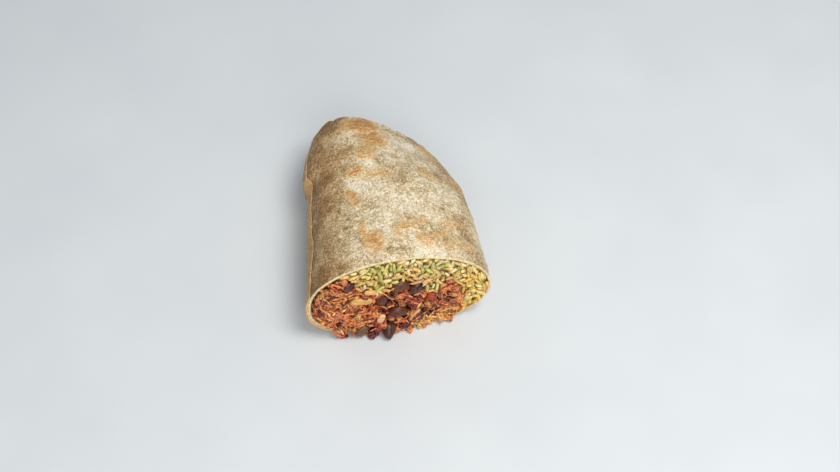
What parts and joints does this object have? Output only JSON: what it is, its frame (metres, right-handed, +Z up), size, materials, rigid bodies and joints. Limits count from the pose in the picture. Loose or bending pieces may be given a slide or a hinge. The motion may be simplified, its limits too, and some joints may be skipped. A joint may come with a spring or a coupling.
{
  "type": "burrito half",
  "caption": "Half of a cut burrito lying on its side, a flour tortilla round rice, shredded meat, black beans and onion.",
  "frame": {"origin": "on the flat underside of the tortilla, under the middle of the half", "axes": "+Z up, -Y out of the cut, +Y towards the folded end, +X to the right seen from the cut"},
  "size_m": [0.084, 0.1122, 0.0514],
  "materials": {
    "tortilla": "dry floury skin with toasted patches",
    "rice": "moist satin grains",
    "meat": "moist, stained with sauce",
    "bean": "smooth wet skin",
    "onion": "translucent and wet"
  },
  "bodies": {
    "root": {"tortilla": "tortilla", "rice": "rice", "meat": "meat", "bean_1": "bean", "bean_2": "bean", "bean_3": "bean", "bean_4": "bean", "bean_5": "bean", "bean_6": "bean", "bean_7": "bean", "onion_1": "onion", "onion_2": "onion", "onion_3": "onion", "onion_4": "onion"}
  },
  "joints": []
}
